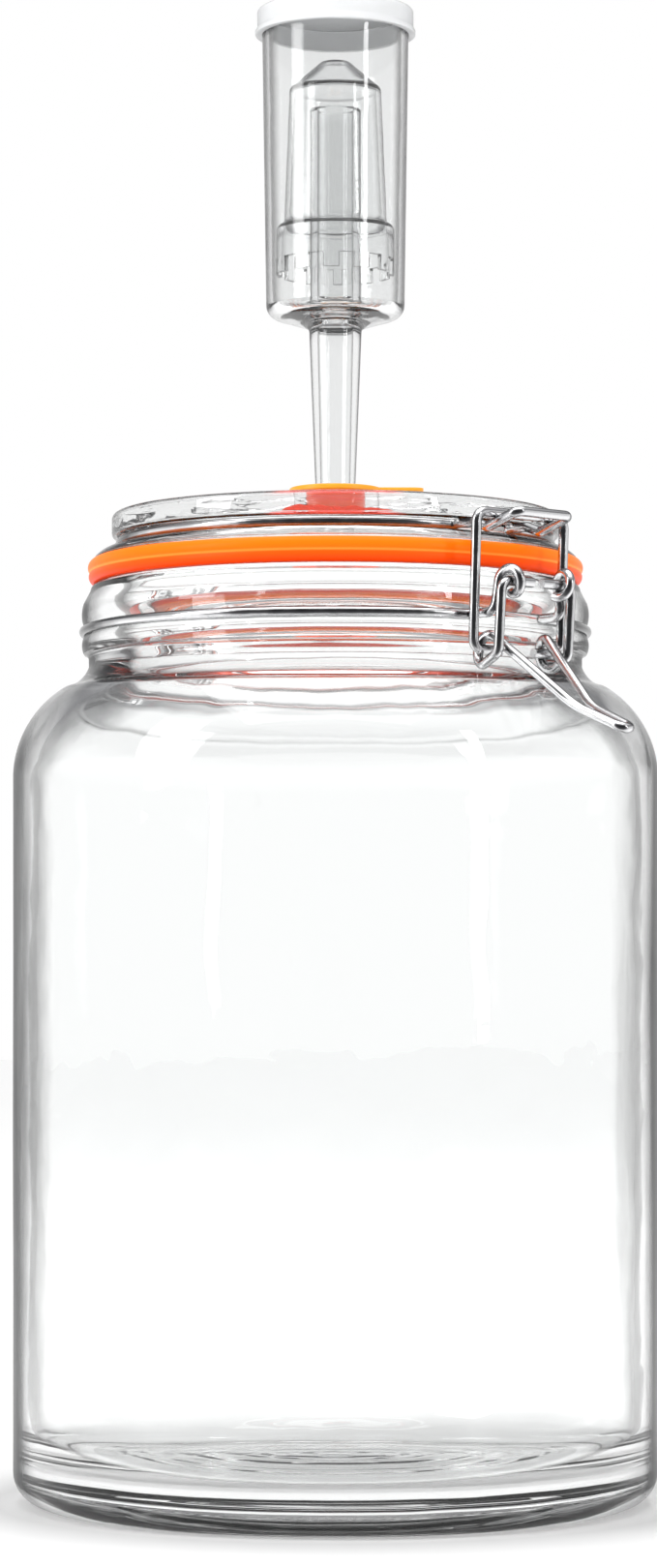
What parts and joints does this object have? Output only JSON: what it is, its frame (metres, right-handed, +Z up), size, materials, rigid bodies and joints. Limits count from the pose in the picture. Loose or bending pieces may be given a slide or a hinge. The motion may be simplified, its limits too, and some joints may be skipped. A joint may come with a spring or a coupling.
{
  "type": "bail clamp jar",
  "caption": "Clear glass bail jar with wire clamp, hinged glass lid, orange gasket, and a grommet holding a clear fermentation airlock with bell and cap",
  "frame": {"origin": "centre of the jar's foot, on the plane it stands on", "axes": "+Z up along the jar's axis, +X toward the clamp, -X toward the hinge bar, +Y to the left of the clamp as seen from above the hinge"},
  "size_m": [0.1834, 0.16, 0.3699],
  "materials": {
    "jar_glass": "clear pressed glass",
    "lid_glass": "clear pressed glass",
    "wire_steel": "bright drawn wire",
    "gasket_rubber": "satin silicone",
    "grommet_rubber": "satin translucent silicone",
    "airlock_plastic": "clear moulded plastic",
    "cap_plastic": "frosted translucent plastic"
  },
  "bodies": {
    "jar": {"glass_jar": "jar_glass", "neck_ring": "wire_steel"},
    "lid": {"glass_lid": "lid_glass", "lid_ring": "wire_steel", "lid_gasket": "gasket_rubber", "lid_grommet": "grommet_rubber"},
    "lever": {"clamp_lever": "wire_steel"},
    "link": {"clamp_link": "wire_steel"},
    "airlock": {"airlock_body": "airlock_plastic"},
    "bell": {"airlock_bell": "airlock_plastic"},
    "cap": {"airlock_cap": "cap_plastic"}
  },
  "joints": [
    {"name": "lid_hinge", "type": "hinge", "parent": "jar", "child": "lid", "pos_m": [-0.071, 0, 0.222], "axis": [0, -1, 0], "range_deg": [0, 110]},
    {"name": "lever_pivot", "type": "hinge", "parent": "jar", "child": "lever", "pos_m": [0.0723, 0, 0.2224], "axis": [0, -1, 0], "range_deg": [0, 125]},
    {"name": "link_pivot", "type": "hinge", "parent": "lever", "child": "link", "pos_m": [0.0656, 0, 0.2066], "axis": [0, -1, 0], "range_deg": [-275, 0]},
    {"name": "airlock_lift", "type": "slide", "parent": "lid", "child": "airlock", "axis": [0, 0, 1], "range_m": [0, 0.03]},
    {"name": "bell_float", "type": "slide", "parent": "airlock", "child": "bell", "axis": [0, 0, 1], "range_m": [0, 0.01]},
    {"name": "cap_lift", "type": "slide", "parent": "airlock", "child": "cap", "axis": [0, 0, 1], "range_m": [0, 0.03]}
  ],
  "couplings": [
    {"joint": "link_pivot", "follows": "lever_pivot", "ratio": -2.2}
  ]
}
